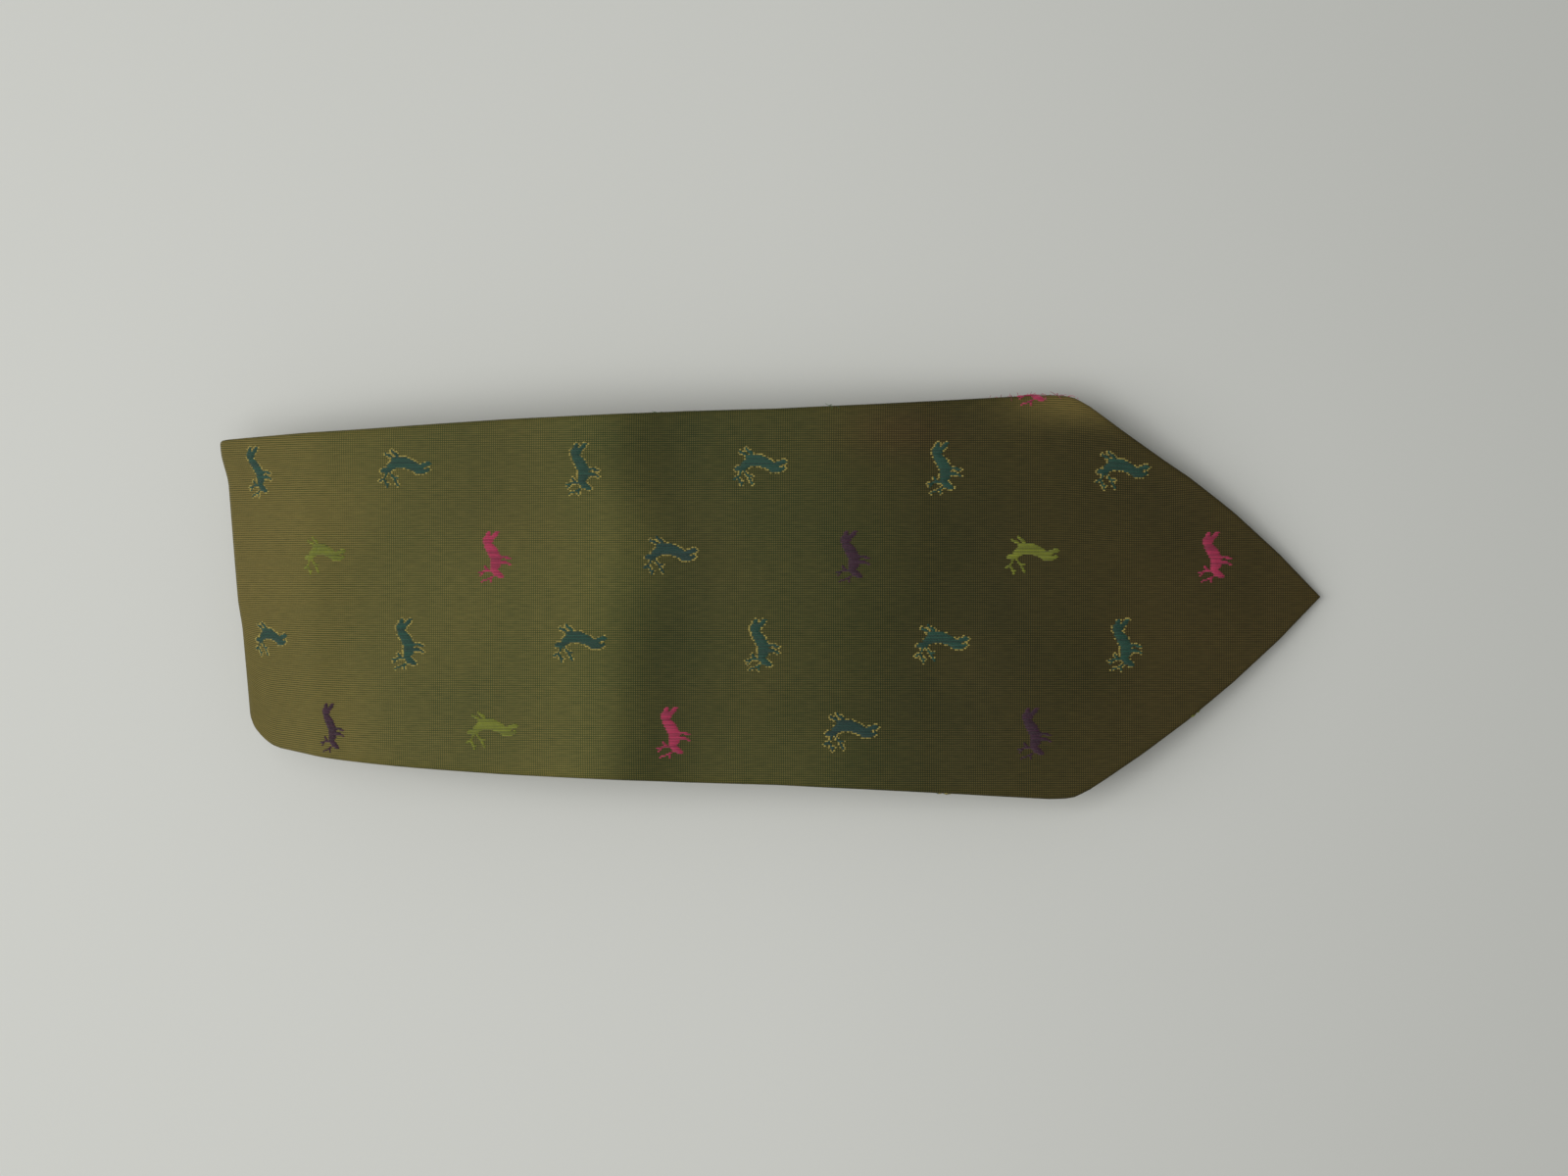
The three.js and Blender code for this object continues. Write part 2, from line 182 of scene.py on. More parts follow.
# How far behind the blade's point, and how high the cloth waves there.
WAVES = ((0, 0), (45, 0), (62, 0.4), (74, 0.1), (86, -0.9), (97, -0.3), (108, 0.5), (124, 0.3), (136, -0.6),
         (144, -1.1), (152, 0.3), (163, 1.0), (185, 0.7), (210, 0.3), (230, 0.3), (250, 0.2), (270, 0))


def smooth(x):
    x = np.clip(x, 0, 1)
    return x * x * (3 - 2 * x)


def soft_table(at, table, reach=5.0):
    """A table of places and values, with its corners rounded."""
    places, values = zip(*table)
    shifts = np.linspace(-1, 1, 7) * reach
    return sum(np.interp(at + d, places, values) for d in shifts) / len(shifts)


def corner_pull(u, near):
    """How much of the lower side draws in at the top fold, which rounds that corner."""
    outer = TOP_FOLD[6] + HALF_THICK
    d = np.abs(u - TOP_FOLD_U)
    arc = (TOP_FOLD[1] - TOP_FOLD[0]) / 2
    plan = np.where(d < arc, outer * (1 - np.cos(d / arc * pi / 2)), outer + d - arc)
    inside = np.clip(CORNER_ROUND - plan, 0, CORNER_ROUND)
    circle = CORNER_ROUND - np.sqrt(CORNER_ROUND**2 - inside**2)
    return (circle + 2.2 * near) / 35.5


def place(u, v, h):
    """Where a point of the tie lies: u along it, v across it and h out of its gently waving face."""
    u, v, h = np.broadcast_arrays(*(np.asarray(a, float) for a in (u, v, h)))
    x, z, heading = LINE.at(u)
    x = x - h * np.sin(heading) + OFFSET_X
    z = z + h * np.cos(heading)
    half = np.maximum(half_width(u), 1)
    behind = LENGTH - u
    near_fold = np.exp(-(((u - TOP_FOLD_U) / 26) ** 2))
    aside = 1.3 * np.sin(u / 61) * smooth((TOP_FOLD_U - 60 - u) / 120) * smooth((u - 30) / 120)
    y = v * np.where(v < 0, 1 - corner_pull(u, near_fold), 1) + aside
    y = y - 1.1 * np.exp(-(((behind - 40) / 13) ** 2)) * smooth(v / 20)
    x = x + (TOP_SKEW * y + TOP_SHIFT * smooth((33 - y) / 8) + LOW_SHIFT * smooth(-y / 8)) * near_fold
    on_top = smooth((u - TOP_FOLD_U - 8) / 25)
    rim = (np.abs(v) / half) ** 4
    ripple = 0.25 * np.sin(behind / 17 + v / 13) * smooth((behind - 40) / 40)
    lie = soft_table(behind, WAVES) + ripple
    sag = 0.9 * rim * smooth((behind - 30) / 40)
    z = z + on_top * (lie - sag)
    lift = 0.3 * (np.sin(x / 23 + y / 19) + 0.5 * np.sin(x / 11 - y / 9)) * z / 25
    z = z + lift * smooth((z - 3) / 6)
    return np.stack([x, y, z], -1)


def turned_fold(u):
    """How much the face and the back are pressed in, each on the inside of a fold."""
    inside_face, inside_back = np.zeros(np.shape(u)), np.zeros(np.shape(u))
    for start, stop, _, _, _, angle, radius in LINE.runs:
        if abs(angle) > 3:
            away = np.clip(np.maximum(start - u, u - stop), 0, None)
            pinch = 0.35 * np.exp(-((away / 4) ** 2)) * (radius < 1.8)
            if angle > 0:
                inside_face = np.maximum(inside_face, pinch)
            else:
                inside_back = np.maximum(inside_back, pinch)
    return inside_face, inside_back


SEAMS = []  # where the two joining seams cross the middle, filled in where the bodies' stretches are known


def seam_groove(u, v):
    depth = np.zeros(np.shape(u))
    for seam in SEAMS:
        depth = np.maximum(depth, 0.28 * np.exp(-(((u - seam - v) / 1.1) ** 2)))
    return depth


def on_section(u, c, lift):
    """v and h of a point of the shell, c round its section: the face, the rolled edge, then the back."""
    half = half_width(u)
    roll = np.minimum(HALF_THICK, 0.45 * half)
    flat = half - roll
    thick = HALF_THICK * smooth(0.25 + np.minimum(u, LENGTH - u) / 12)
    thick = thick * np.where(np.minimum(u, LENGTH - u) <= 1.001, 0.02, 1)
    pinch_face, pinch_back = turned_fold(u)
    side, far = np.sign(c), np.abs(c)
    turn = np.clip((far - flat) / np.maximum(roll, 1e-6), 0, pi)
    beyond = np.clip(far - flat - pi * roll, 0, None)
    v = np.where(far < flat, far, flat + (roll + lift) * np.sin(turn) - beyond)
    groove = seam_groove(u, side * v)
    up = np.cos(turn)
    face = thick - pinch_face - groove + lift
    back = thick - pinch_back - groove + lift
    return side * v, np.where(up > 0, up * face, up * back)


def cloth_point(u, c, lift=0.0):
    u, c, lift = np.broadcast_arrays(*(np.asarray(a, float) for a in (u, c, lift)))
    v, h = on_section(u, c, lift)
    return place(u, v, h)


def reach_round(u):
    """How far c goes before it comes to the turned-in edge on the back."""
    half = half_width(u)
    roll = np.minimum(HALF_THICK, 0.45 * half)
    return (half - roll) * 2 + pi * roll - np.minimum(half_opening(u), half - roll - 1e-3)


# ---- Bodies, hinges and cuts ----

JOINTS = frame["joints"]
CHAIN = [JOINTS[0]["parent"]] + [j["child"] for j in JOINTS]
SOFT_REACH = {"leaf_2_slope_bend": 9, "leaf_1_bend": 10, "blade_middle_bend": 19, "blade_end_bend": 19}


def hinge_places():
    """Where each hinge is along the tie, and the two points that its bend runs between."""
    found = []
    names = iter(j["name"] for j in JOINTS)
    for start, stop, cx, cz, a, angle, radius in LINE.runs:
        if abs(angle) > 3:
            inner = radius - HALF_THICK + (0.35 if radius < 1.8 else 0)
            side = np.sign(angle)
            ring = [a, a + angle / 2, a + angle]
            points = [(cx + side * inner * sin(b), cz - side * inner * cos(b)) for b in ring]
            for share, pair in ((0.25, points[:2]), (0.75, points[1:])):
                found.append((next(names), start + (stop - start) * share, pair))
        elif angle:
            name, at = next(names), (start + stop) / 2
            xs, zs, _ = LINE.at(np.array([at - SOFT_REACH[name], at + SOFT_REACH[name]]))
            found.append((name, at, list(zip(xs, zs))))
    return found


HINGES = hinge_places()
HINGE_U = [at for _, at, _ in HINGES]
BODY_FROM = dict(zip(CHAIN, [0.0, *HINGE_U]))
BODY_TO = dict(zip(CHAIN, [*HINGE_U, LENGTH]))
SEAMS += [BODY_FROM["leaf_5"] + 0.15 + BLADE_SEAM, BODY_FROM["leaf_7"] + 0.15 + NECK_SEAM]
END_CLEAR = 1.0
CUTS = [END_CLEAR]
for body in CHAIN[1:-1]:
    seam = [s for s in SEAMS if BODY_FROM[body] < s < BODY_TO[body]]
    CUTS.append(seam[0] if seam else (BODY_FROM[body] + BODY_TO[body]) / 2)
CUTS.append(LENGTH - END_CLEAR)


def piece_at(u):
    """Which hinge's piece of cloth a place belongs to."""
    return int(np.clip(np.searchsorted(CUTS, u) - 1, 0, len(HINGES) - 1))


def bend_with(piece, index):
    """Bakes the piece's placement into its mesh; the hinge of that number is read, but the piece is not made
    to bend with it.
    """
    name, _, ((ax, az), (bx, bz)) = HINGES[index]
    skew, shift = (TOP_SKEW, TOP_SHIFT + LOW_SHIFT) if name.startswith("fold_1_") else (0, 0)
    start = Vector((ax + OFFSET_X + shift, 0, az)) * MM
    along = Vector((bx - ax, -skew * (bx - ax), bz - az)) * MM
    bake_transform(piece)
    return piece


def slanted(u, v):
    """Rows of the cloth lean with the joining seam where they are near it."""
    for seam in SEAMS:
        u = u + v * np.clip(1 - np.abs(u - seam) / SEAM_FADE, 0, 1)
    return u


# ---- Meshes ----

def new_object(name, points, faces, material, smooth_faces=True):
    mesh = bpy.data.meshes.new(name)
    mesh.from_pydata((np.asarray(points) * MM).tolist(), [], faces)
    mesh.polygons.foreach_set("use_smooth", [smooth_faces] * len(mesh.polygons))
    mesh.materials.append(material)
    mesh.validate()
    obj = bpy.data.objects.new(name, mesh)
    bpy.context.scene.collection.objects.link(obj)
    return obj


def grid_faces(rows, columns, ring=False):
    faces = []
    for i in range(rows - 1):
        for j in range(columns if ring else columns - 1):
            k = (j + 1) % columns
            faces.append((i * columns + j, (i + 1) * columns + j, (i + 1) * columns + k, i * columns + k))
    return faces


def capped(faces, rows, columns):
    last = (rows - 1) * columns
    return faces + [tuple(range(columns)), tuple(last + j for j in reversed(range(columns)))]


def set_uv(obj, across, along):
    layer = obj.data.uv_layers.new(name="cloth")
    index = np.zeros(len(obj.data.loops), int)
    obj.data.loops.foreach_get("vertex_index", index)
    uv = np.stack([np.ravel(across)[index], np.ravel(along)[index]], -1)
    layer.data.foreach_set("uv", uv.astype(np.float32).ravel())


def set_attribute(obj, name, values):
    attribute = obj.data.attributes.new(name, "FLOAT", "POINT")
    attribute.data.foreach_set("value", np.asarray(values, np.float32).ravel())


def stations(start, stop, step, extra=()):
    """Rows along the tie: even steps, closer in the bends."""
    rows = list(np.linspace(start, stop, max(2, int((stop - start) / step) + 1)))
    for a, b, _, _, _, angle, _ in LINE.runs:
        if angle:
            count = 17 if abs(angle) > 3 else 5
            rows += list(np.linspace(a, b, count))
            if abs(angle) > 3:
                rows += [a - 2, a - 4, b + 2, b + 4]
    rows += list(extra)
    kept = sorted(r for r in rows if start < r < stop)
    out = [start]
    for r in kept:
        if r - out[-1] > 0.12:
            out.append(r)
    if stop - out[-1] < 0.12:
        out.pop()
    return np.array([*out, stop])


# ---- Materials ----

class Sum:
    """A socket of a material, with sums written as Python writes them."""

    def __init__(self, make, socket):
        self.make, self.socket = make, socket

    def _math(self, operation, *values):
        return self.make.node("ShaderNodeMath", {"operation": operation}, *values)

    def __add__(self, other): return self._math("ADD", self, other)
    def __radd__(self, other): return self._math("ADD", other, self)
    def __sub__(self, other): return self._math("SUBTRACT", self, other)
    def __rsub__(self, other): return self._math("SUBTRACT", other, self)
    def __mul__(self, other): return self._math("MULTIPLY", self, other)
    def __rmul__(self, other): return self._math("MULTIPLY", other, self)
    def sine(self): return self._math("SINE", self)
    def clamp(self): return self._math("MAXIMUM", self._math("MINIMUM", self, 1.0), 0.0)


class Finish:
    """One material in the making."""

    def __init__(self, name, **constants):
        self.material = bpy.data.materials.new(name)
        self.material.use_nodes = True
        self.tree = self.material.node_tree
        self.shader = self.tree.nodes["Principled BSDF"]
        for socket, value in constants.items():
            self.shader.inputs[socket.replace("_", " ")].default_value = value

    def node(self, kind, settings=None, *values, out=0, **named):
        node = self.tree.nodes.new(kind)
        for key, value in (settings or {}).items():
            setattr(node, key, value)
        for key, value in [*enumerate(values), *named.items()]:
            socket = node.inputs[key.replace("_", " ") if isinstance(key, str) else key]
            if isinstance(value, Sum):
                self.tree.links.new(value.socket, socket)
            elif value is not None:
                socket.default_value = value
        return Sum(self, node.outputs[out])

    def feed(self, socket, value):
        self.tree.links.new(value.socket, self.shader.inputs[socket])

    def attribute(self, name, out="Fac"):
        return self.node("ShaderNodeAttribute", {"attribute_name": name}, out=out)

    def cloth_axes(self):
        """Across and along the cloth, in millimetres."""
        uv = self.node("ShaderNodeUVMap", {"uv_map": "cloth"})
        split = self.node("ShaderNodeSeparateXYZ", None, uv)
        return split, Sum(self, split.socket.node.outputs[1]), uv

    def mix(self, factor, a, b, blend="MIX"):
        node = self.tree.nodes.new("ShaderNodeMix")
        node.data_type, node.blend_type = "RGBA", blend
        for index, value in ((0, factor), (6, a), (7, b)):
            if isinstance(value, Sum):
                self.tree.links.new(value.socket, node.inputs[index])
            else:
                node.inputs[index].default_value = value
        return Sum(self, node.outputs[2])

    def noise(self, where, scale, detail=2.0, stretch=None):
        if stretch:
            where = self.node("ShaderNodeVectorMath", {"operation": "MULTIPLY"}, where, stretch)
        return self.node("ShaderNodeTexNoise", None, Vector=where, Scale=scale, Detail=detail)

    def bump(self, height, strength, distance):
        self.feed("Normal", self.node("ShaderNodeBump", None, Strength=strength, Distance=distance * MM,
                                      Height=height))


def colour(red, green, blue):
    return (red, green, blue, 1.0)


WEAVE_PITCH = 0.48


def shot_cloth(name):
    """Two-tone woven cloth: a dark green yarn crossed by a gold one, in ribs where the gold lies on top; its
    colour also carries painted shade and painted gold sheen, set by place.
    """
    make = Finish(name, Roughness=0.62, Specular_IOR_Level=0.12)
    across, along, uv = make.cloth_axes()
    tone, depth, red = make.attribute("tone"), make.attribute("depth"), make.attribute("red")
    waver = make.noise(uv, 0.9, 1.0)
    turn = 2 * pi / WEAVE_PITCH
    weft = ((across + waver * 0.1) * turn).sine()
    warp = (along * turn).sine()
    knots = (weft * 0.5 + warp * 0.5) * 0.9 + weft * warp * 0.35
    ribs = weft * 1.05 + warp * 0.18
    ribbed = ((tone - 0.55) * 3.2).clamp()
    relief = knots * (1 - ribbed) + ribs * ribbed
    slub = make.noise(uv, 1.0, 3.0, (2.4, 0.35, 1.0))
    patches = make.noise(uv, 0.035, 2.0)
    # tone holds painted gold sheen as well as the weave's own share of gold.
    gold_share = (relief * 0.62 + tone * 0.75 + slub * 0.3 + patches * 0.35 - 0.22).clamp()
    green = colour(0.029, 0.058, 0.018)
    brown = colour(0.052, 0.034, 0.013)
    gold = colour(0.250, 0.195, 0.052)
    gold_red = colour(0.225, 0.145, 0.045)
    dark_yarn = make.mix(red, green, brown)
    light_yarn = make.mix(red, gold, gold_red)
    body = make.mix(gold_share, dark_yarn, light_yarn)
    # depth is painted shade: it darkens the cloth's colour by place; slub adds the yarn's own uneven tone.
    shade = depth * (0.84 + slub * 0.32)
    grey = make.node("ShaderNodeCombineColor", None, shade, shade, shade)
    make.feed("Base Color", make.mix(1.0, body, grey, "MULTIPLY"))
    make.feed("Roughness", 0.7 - gold_share * 0.2)
    make.bump(relief * 0.5 + slub * 0.35, 0.55, 0.09)
    return make.material


def lining_wool(name):
    """Brushed wool interlining with a loose plain weave."""
    make = Finish(name, Roughness=0.95, Specular_IOR_Level=0.1)
    across, along, uv = make.cloth_axes()
    weave = (across * (2 * pi / 0.9)).sine() * (along * (2 * pi / 0.9)).sine()
    fuzz = make.noise(uv, 1.6, 4.0)
    share = (weave * 0.25 + fuzz * 0.9).clamp()
    make.feed("Base Color", make.mix(share, colour(0.42, 0.38, 0.30), colour(0.72, 0.68, 0.58)))
    make.feed("Roughness", 0.98 - fuzz * 0.1)
    make.bump(weave * 0.4 + fuzz, 0.6, 0.15)
    return make.material


def satin(name, dark, light, fine=0.16, shine=0.34):
    """Smooth satin: long floats across, with a soft streaked gloss."""
    make = Finish(name, Roughness=shine, Specular_IOR_Level=0.45, Sheen_Weight=0.1)
    across, along, uv = make.cloth_axes()
    floats = (along * (2 * pi / fine)).sine()
    streak = make.noise(uv, 0.8, 3.0, (0.15, 3.0, 1.0))
    patches = make.noise(uv, 0.06, 2.0)
    share = (floats * 0.18 + streak * 0.7 + patches * 0.3 - 0.05).clamp()
    make.feed("Base Color", make.mix(share, dark, light))
    make.feed("Roughness", shine + streak * 0.18)
    make.bump(floats * 0.3 + streak * 0.6, 0.3, 0.05)
    return make.material


def yarn(name):
    """Coloured yarn: each thread has its own colour, a twist and a sheen."""
    make = Finish(name, Roughness=0.42, Specular_IOR_Level=0.4, Sheen_Weight=0.2, Sheen_Roughness=0.4)
    own = make.node("ShaderNodeAttribute", {"attribute_name": "thread_colour"}, out="Color")
    where = make.node("ShaderNodeTexCoord", None, out="Object")
    fibres = make.noise(where, 5200.0, 2.0)
    twist = make.noise(where, 900.0, 1.0)
    shade = 0.62 + fibres * 0.45 + twist * 0.3
    grey = make.node("ShaderNodeCombineColor", None, shade, shade, shade)
    make.feed("Base Color", make.mix(1.0, own, grey, "MULTIPLY"))
    make.feed("Roughness", 0.36 + fibres * 0.25)
    make.bump(fibres, 0.4, 0.05)
    return make.material


def table_top(name):
    """The plain pale table, with painted shade that darkens it towards +X."""
    make = Finish(name, Roughness=0.75, Specular_IOR_Level=0.2)
    where = make.node("ShaderNodeTexCoord", None, out="Object")
    cloud = make.noise(where, 2.5, 3.0)
    grain = make.noise(where, 700.0, 2.0)
    share = (cloud * 0.7 + grain * 0.15).clamp()
    plain = make.mix(share, colour(0.695, 0.705, 0.672), colour(0.745, 0.750, 0.720))
    # Painted shade: the table grows darker towards +X, mixed up to 16 % towards a dark grey.
    painted_shade_right = (make.node("ShaderNodeSeparateXYZ", None, where) * 6.0).clamp()
    make.feed("Base Color", make.mix(painted_shade_right * 0.16, plain, colour(0.30, 0.31, 0.29)))
    make.feed("Roughness", 0.7 + grain * 0.1)
    make.bump(grain, 0.15, 0.02)
    return make.material


SHOT = shot_cloth("shot_cloth")
WOOL = lining_wool("interlining_wool")
TIPPING = satin("tipping_satin", colour(0.085, 0.075, 0.030), colour(0.20, 0.175, 0.075))
LABEL = satin("label_satin", colour(0.40, 0.37, 0.29), colour(0.62, 0.58, 0.47), 0.2, 0.42)
CARE = satin("care_satin", colour(0.60, 0.60, 0.57), colour(0.80, 0.80, 0.77), 0.22, 0.45)
YARN = yarn("yarn")
TABLE = table_top("pale_table")

# ---- Tone of the cloth, by place ----

# Places behind the blade's point, with the share of gold (partly the weave's own two tones, partly painted
# gold sheen where the cloth slopes towards the light), the painted shade (a darkening factor, lowest where
# the cloth slopes away from the light) and the share of brown there.
TONE_AND_PAINTED_SHEEN = ((0, 0.42), (20, 0.42), (45, 0.38), (62, 0.36), (80, 0.34), (100, 0.34), (120, 0.36), (138, 0.36),
        (150, 0.34), (165, 0.46), (200, 0.49), (212, 0.56), (224, 0.95), (262, 0.95), (290, 0.55), (320, 0.5))
PAINTED_SHADE_BY_PLACE = ((0, 0.50), (30, 0.46), (60, 0.46), (78, 0.42), (92, 0.42), (106, 0.56), (128, 0.58), (139, 0.52),
         (147, 0.46), (153, 0.72), (157, 0.98), (168, 0.90), (180, 0.84), (212, 0.84), (224, 0.78),
         (262, 0.78), (300, 0.9))
RED = ((0, 0.7), (30, 0.6), (50, 0.5), (70, 0.4), (85, 0.25), (100, 0.1), (120, 0.0), (220, 0.0),
       (236, 0.1), (262, 0.25), (300, 0.1))
TOP_LEAF = 262  # the blade's face is in view as far behind its point as this


def add_tone_and_painted_shade(obj, u, c, v):
    """Whether the green or the gold yarn shows more (partly painted gold sheen), the painted shade and light
    as a depth of colour, and how brown.
    """
    behind = LENGTH - u
    on_face = np.abs(c) < half_width(u) + 1
    lean = behind - 0.12 * v * smooth((behind - 190) / 20)
    waver = 3.0 * np.sin(v / 14 + 1.3) + 1.5 * np.sin(v / 6.1)
    tone = soft_table(lean + waver, TONE_AND_PAINTED_SHEEN, 6)
    depth = soft_table(behind + waver, PAINTED_SHADE_BY_PLACE, 6)
    red = soft_table(behind, RED, 8)
    # Painted gold sheen: a little more gold on the rolled rims, and much more in a patch at the upper edge
    # near the point.
    rim = smooth((np.abs(v) - half_width(u) + 5) / 5)
    upper_edge_highlight = np.exp(-(((behind - 55) / 14) ** 2)) * smooth((v - 34) / 9)
    tone = tone + 0.45 * upper_edge_highlight * on_face + 0.05 * rim
    stain = np.exp(-(((behind - 93) / 14) ** 2) - ((v - 36) / 7) ** 2)
    red = red + 0.6 * stain
    # Painted shade in the crease about 180 mm behind the point; painted light on the lower half about 106 mm
    # behind it (low).
    crease_shade = np.exp(-(((behind - 180) / 22) ** 2)) * smooth((v - 4) / 16)
    low = np.exp(-(((behind - 106) / 44) ** 2)) * smooth((-v - 24) / 10)
    # depth is painted shade and light: it darkens or lightens the cloth's colour by place.
    depth = depth * (1 + 0.32 * stain + 1.1 * upper_edge_highlight - 0.15 * crease_shade + 0.15 * low)
    hidden = (behind > TOP_LEAF) | ~on_face
    tone = np.where(hidden, 0.5 + 0.06 * np.sin(u / 31), tone)
    depth = np.where(hidden, 1.0, depth)
    red = np.where(hidden, 0.12, red)
    for name, values in (("tone", tone), ("depth", depth), ("red", np.clip(red, 0, 1))):
        set_attribute(obj, name, values)


# ---- Shell cloth ----

def section_columns(u, faces, backs):
    """c for each column of a row, from one turned-in edge round the face to the other."""
    half = half_width(u)
    roll = np.minimum(HALF_THICK, 0.45 * half)
    flat, full = half - roll, reach_round(u)
    side = [np.linspace(0, flat, faces + 1)[1:], flat + np.linspace(0, pi * roll, 7)[1:],
            np.linspace(flat + pi * roll, full, backs + 1)[1:]]
    right = np.concatenate(side)
    return np.concatenate([-right[::-1], [0.0], right])


def cloth_rows(u, faces, backs):
    """Points, c, v and u of one row of the shell, with the lips that turn in under the back's edges."""
    c = section_columns(u, faces, backs)
    v, h = on_section(np.full(len(c), u), c, 0.0)
    near_end = min(1.0, (min(u, LENGTH - u) - END_CLEAR) / 8)
    for side in (0, -1):
        edge_v, edge_h = v[side], h[side]
        out = np.sign(edge_v) if edge_v else (-1 if side == 0 else 1)
        lip_v = [edge_v, edge_v + out * 2.6 * near_end]
        lip_h = [edge_h + 0.32 * near_end, edge_h + 0.36 * near_end]
        lip_c = [c[side] + np.sign(c[side]) * 0.3, c[side] + np.sign(c[side]) * 2.9]
        if side == 0:
            v, h, c = (np.concatenate([b[::-1], a]) for a, b in ((v, lip_v), (h, lip_h), (c, lip_c)))
        else:
            v, h, c = (np.concatenate([a, b]) for a, b in ((v, lip_v), (h, lip_h), (c, lip_c)))
    leaned = slanted(u, v)
    widen = half_width(leaned) / max(half_width(u), 1e-3)
    return place(leaned, v * widen, h), c * widen, v * widen, leaned


def shell_piece(index):
    start, stop = CUTS[index], CUTS[index + 1]
    joint = JOINTS[index]
    on_top = stop > TOP_FOLD_U - 30
    faces, backs = (26, 14) if on_top else (12, 10)
    extra = [s + d for s in SEAMS for d in (-1.8, -1, -0.5, 0.5, 1, 1.8)]
    for own in ((1.6, 3, 5, 8, 11, 14, 17, 20, 23, 27), (BLADE_TACK - 3, BLADE_TACK + 2)):
        extra += [LENGTH - s for s in own] + [s for s in own[:9]]
    rows = stations(start, stop, 1.8 if on_top else 4.0, extra)
    made = [cloth_rows(u, faces, backs) for u in rows]
    points, c, v, u = (np.concatenate([np.atleast_1d(m[i]) for m in made]) for i in range(4))
    columns = len(made[0][1])
    name = "shell_cloth_" + joint["name"]
    obj = new_object(name, points, grid_faces(len(rows), columns), SHOT)
    set_uv(obj, c, u)
    add_tone_and_painted_shade(obj, u, c, v)
    width = [2 * m[1].max() for m in made]
    bend_with(obj, index)
    ends = tuple("_shell_" + body for body in (joint["parent"], joint["child"]))
    stands_for = [n for end in ends for n in frame["nodes"] if n.endswith(end)]
    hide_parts(*stands_for)
    max(width) * MM
    (stop - start) * MM
    return obj


def slab_piece(name, rows, half_at, low, high, material, columns):
    """A thin closed strip of cloth along the tie, from one height out of the face to another."""
    points, across, along = [], [], []
    h = np.repeat([high, low], columns)
    for u in rows:
        v = np.linspace(-half_at(u), half_at(u), columns)
        round_v = np.concatenate([v, v[::-1]])
        points.append(place(u, round_v, h))
        across.append(round_v)
        along.append(np.full(2 * columns, u))
    count = 2 * columns
    faces = capped(grid_faces(len(rows), count, ring=True), len(rows), count)
    obj = new_object(name, np.concatenate(points), faces, material)
    set_uv(obj, np.concatenate(across), np.concatenate(along))
    return obj


def strip_area(rows, half_at):
    return float(np.trapz([2 * half_at(u) for u in rows], rows))


def interlining_piece(index):
    start, stop = max(CUTS[index], 4), min(CUTS[index + 1], LENGTH - 4)
    joint = JOINTS[index]
    on_top = stop > TOP_FOLD_U - 30
    rows = stations(start, stop, 2.5 if on_top else 6)
    half_at = lambda u: max(float(half_width(u)) - 2.2, 0.6)
    obj = slab_piece(f"interlining_{joint['name']}", rows, half_at, -0.12, 0.30, WOOL, 45 if on_top else 13)
    bend_with(obj, index)
    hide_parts(f"interlining_{joint['parent']}", f"interlining_{joint['child']}")
    2 * max(half_at(u) for u in rows) * MM
    (stop - start) * MM
    strip_area(rows, half_at) * MM * MM


# ---- Threads ----

def thread_tree():
    """Sewn and woven threads: every line of the mesh becomes a closed round thread."""
    tree = bpy.data.node_groups.new("threads", "GeometryNodeTree")
    face = tree.interface
    face.new_socket("Geometry", in_out="INPUT", socket_type="NodeSocketGeometry")
    face.new_socket("Thread radius", in_out="INPUT", socket_type="NodeSocketFloat")
    face.new_socket("Sides", in_out="INPUT", socket_type="NodeSocketInt")
    face.new_socket("Yarn", in_out="INPUT", socket_type="NodeSocketMaterial")
    face.new_socket("Geometry", in_out="OUTPUT", socket_type="NodeSocketGeometry")
    add, link = tree.nodes.new, tree.links.new
    given, result = add("NodeGroupInput"), add("NodeGroupOutput")
    curve, ring, tube = add("GeometryNodeMeshToCurve"), add("GeometryNodeCurvePrimitiveCircle"), add(
        "GeometryNodeCurveToMesh")
    tube.inputs["Fill Caps"].default_value = True
    shade, real, paint = (add(kind) for kind in (
        "GeometryNodeSetShadeSmooth", "GeometryNodeRealizeInstances", "GeometryNodeSetMaterial"))
    link(given.outputs["Geometry"], curve.inputs["Mesh"])
    link(given.outputs["Thread radius"], ring.inputs["Radius"])
    link(given.outputs["Sides"], ring.inputs["Resolution"])
    link(curve.outputs["Curve"], tube.inputs["Curve"])
    link(ring.outputs["Curve"], tube.inputs["Profile Curve"])
    link(tube.outputs["Mesh"], shade.inputs["Geometry"])
    link(shade.outputs["Geometry"], real.inputs["Geometry"])
    link(real.outputs["Geometry"], paint.inputs["Geometry"])
    link(given.outputs["Yarn"], paint.inputs["Material"])
    link(paint.outputs["Geometry"], result.inputs["Geometry"])
    return tree


THREADS = thread_tree()


